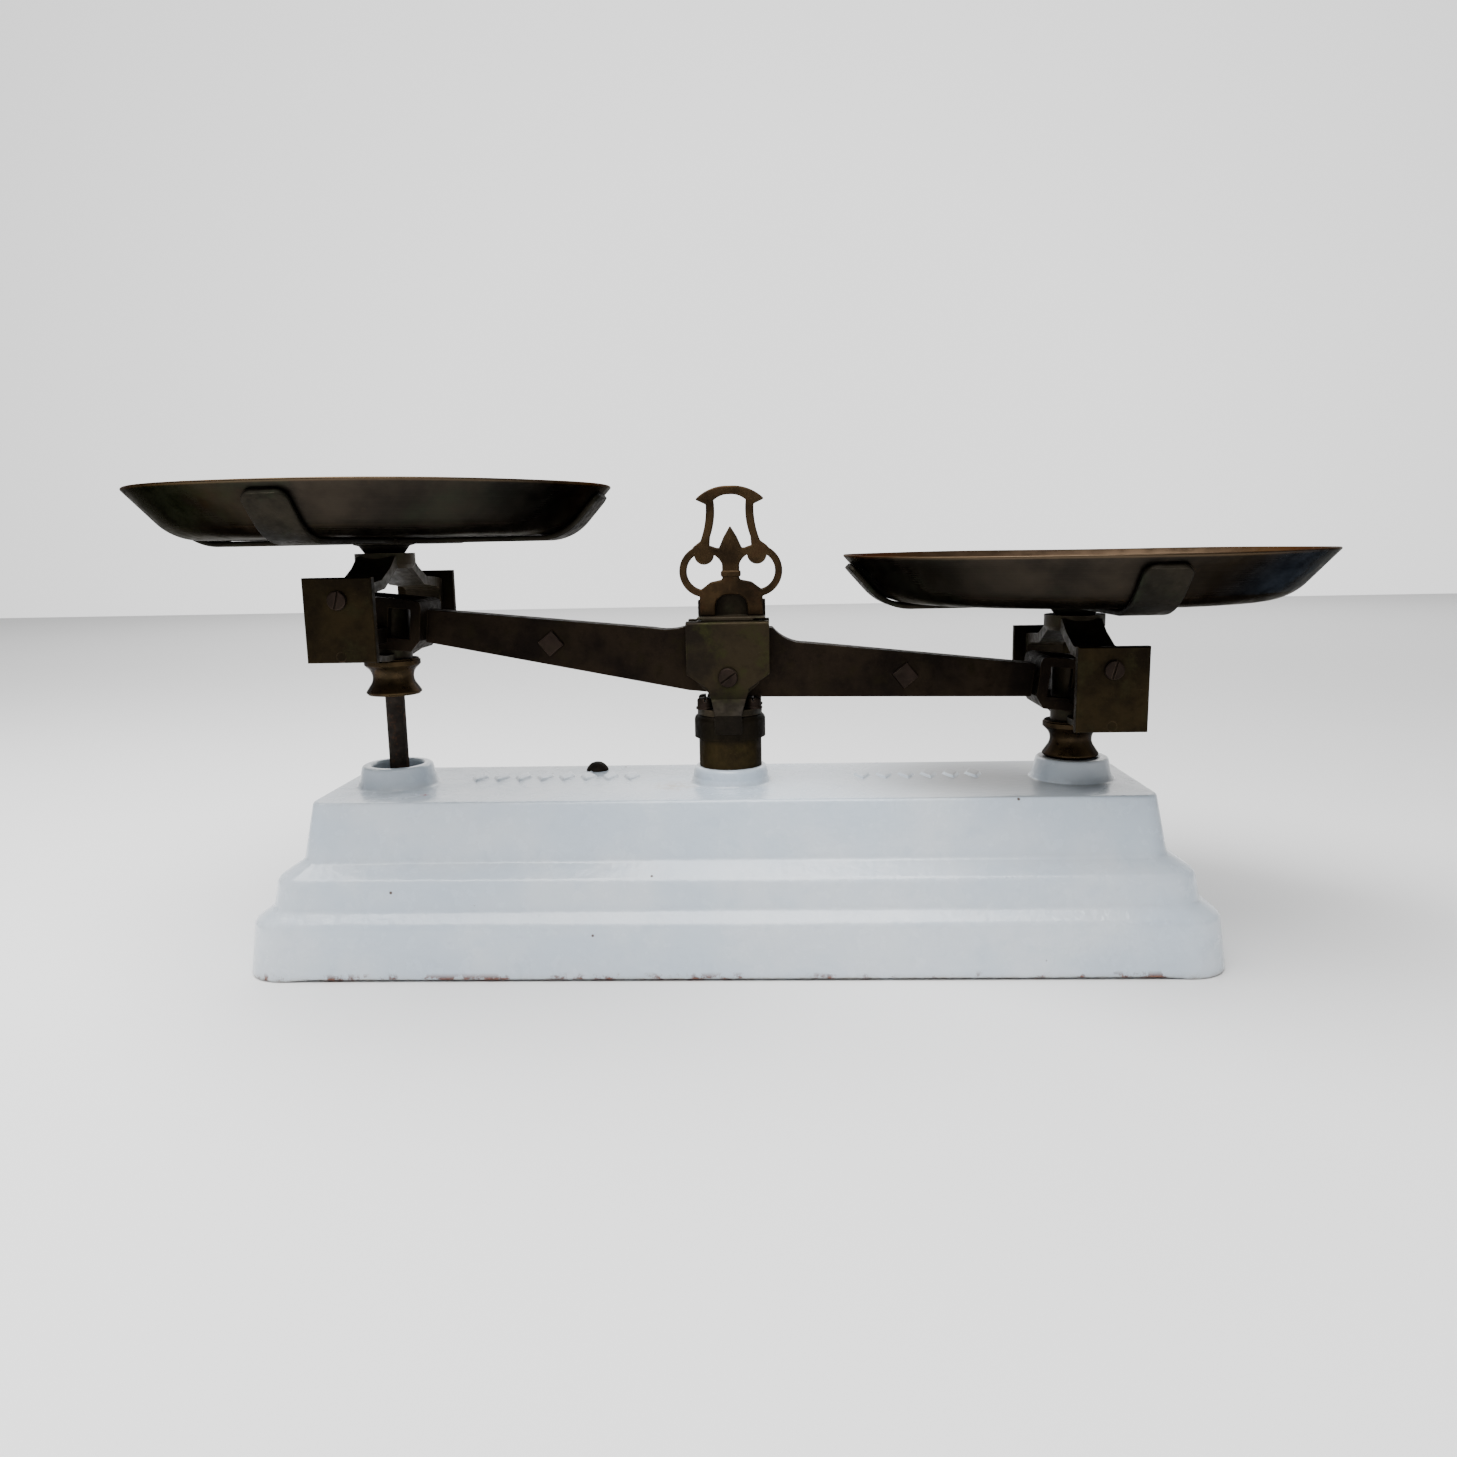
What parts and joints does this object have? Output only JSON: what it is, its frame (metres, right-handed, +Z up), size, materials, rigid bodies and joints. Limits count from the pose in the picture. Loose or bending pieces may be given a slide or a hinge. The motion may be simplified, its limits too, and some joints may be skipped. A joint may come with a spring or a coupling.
{
  "type": "two-pan beam balance",
  "caption": "Equal-arm kitchen or classroom balance: two round brass pans on a knife-edge beam above a long stepped white enamelled base.",
  "frame": {"origin": "centre of the underside of the base", "axes": "+X from the left pan to the right pan, +Y to the back, +Z up"},
  "size_m": [0.5666, 0.226, 0.228],
  "materials": {
    "white_enamel": "gloss enamel on cast iron",
    "pan_brass": "darkened with age",
    "beam_brass": "darkened with age",
    "fitting_brass": "darkened with age",
    "spider_brass": "darkened with age",
    "lyre_brass": "as cast, darkened",
    "tare_metal": "dull",
    "dark_steel": "dark, lightly rusted"
  },
  "bodies": {
    "base": {"base_casting": "white_enamel", "dome_bolt": "dark_steel", "dome_nut": "dark_steel", "column": "fitting_brass", "column_nut": "dark_steel", "bearing_fork": "fitting_brass", "fork_screws": "dark_steel", "fork_washers": "dark_steel", "centre_bearings": "dark_steel", "front_guard_plate": "fitting_brass", "rear_guard_plate": "fitting_brass", "guard_screws": "dark_steel", "bridge": "fitting_brass", "lyre": "lyre_brass", "lower_bracket": "dark_steel", "lower_pivot_pin": "dark_steel"},
    "beam": {"beam": "beam_brass", "centre_knife": "dark_steel", "left_end_knives": "dark_steel", "right_end_knives": "dark_steel", "lozenge_studs": "beam_brass"},
    "left_carrier": {"left_end_bearings": "dark_steel", "left_foot_pin": "dark_steel", "left_front_plate": "fitting_brass", "left_lower_yoke": "fitting_brass", "left_plate_rivets": "dark_steel", "left_plate_screws": "dark_steel", "left_rear_plate": "fitting_brass", "left_spider": "spider_brass", "left_stem": "dark_steel", "left_stem_foot": "dark_steel", "left_top_yoke": "fitting_brass", "left_vase": "fitting_brass"},
    "right_carrier": {"right_end_bearings": "dark_steel", "right_foot_pin": "dark_steel", "right_front_plate": "fitting_brass", "right_lower_yoke": "fitting_brass", "right_plate_rivets": "dark_steel", "right_plate_screws": "dark_steel", "right_rear_plate": "fitting_brass", "right_spider": "spider_brass", "right_stem": "dark_steel", "right_stem_foot": "dark_steel", "right_tare_plug": "tare_metal", "right_top_yoke": "fitting_brass", "right_vase": "fitting_brass"},
    "left_pan": {"left_pan": "pan_brass"},
    "right_pan": {"right_pan": "pan_brass"},
    "counter_beam": {"counter_beam": "dark_steel"}
  },
  "joints": [
    {"name": "beam_tilt", "type": "hinge", "parent": "base", "child": "beam", "pos_m": [0, 0, 0.146], "axis": [0, -1, 0], "range_deg": [0, 12]},
    {"name": "left_carrier_swing", "type": "hinge", "parent": "beam", "child": "left_carrier", "pos_m": [-0.17026, 0, 0.1639], "axis": [0, -1, 0], "range_deg": [-12, 0]},
    {"name": "right_carrier_swing", "type": "hinge", "parent": "beam", "child": "right_carrier", "pos_m": [0.17026, 0, 0.1281], "axis": [0, -1, 0], "range_deg": [-12, 0]},
    {"name": "counter_beam_tilt", "type": "hinge", "parent": "base", "child": "counter_beam", "pos_m": [0, 0, 0.04], "axis": [0, -1, 0], "range_deg": [0, 12]},
    {"name": "left_pan_lift", "type": "slide", "parent": "left_carrier", "child": "left_pan", "axis": [0, 0, 1], "range_m": [0, 0.08]},
    {"name": "right_pan_lift", "type": "slide", "parent": "right_carrier", "child": "right_pan", "axis": [0, 0, 1], "range_m": [0, 0.08]}
  ],
  "couplings": [
    {"joint": "left_carrier_swing", "follows": "beam_tilt", "ratio": -1},
    {"joint": "right_carrier_swing", "follows": "beam_tilt", "ratio": -1},
    {"joint": "counter_beam_tilt", "follows": "beam_tilt", "ratio": 1}
  ]
}
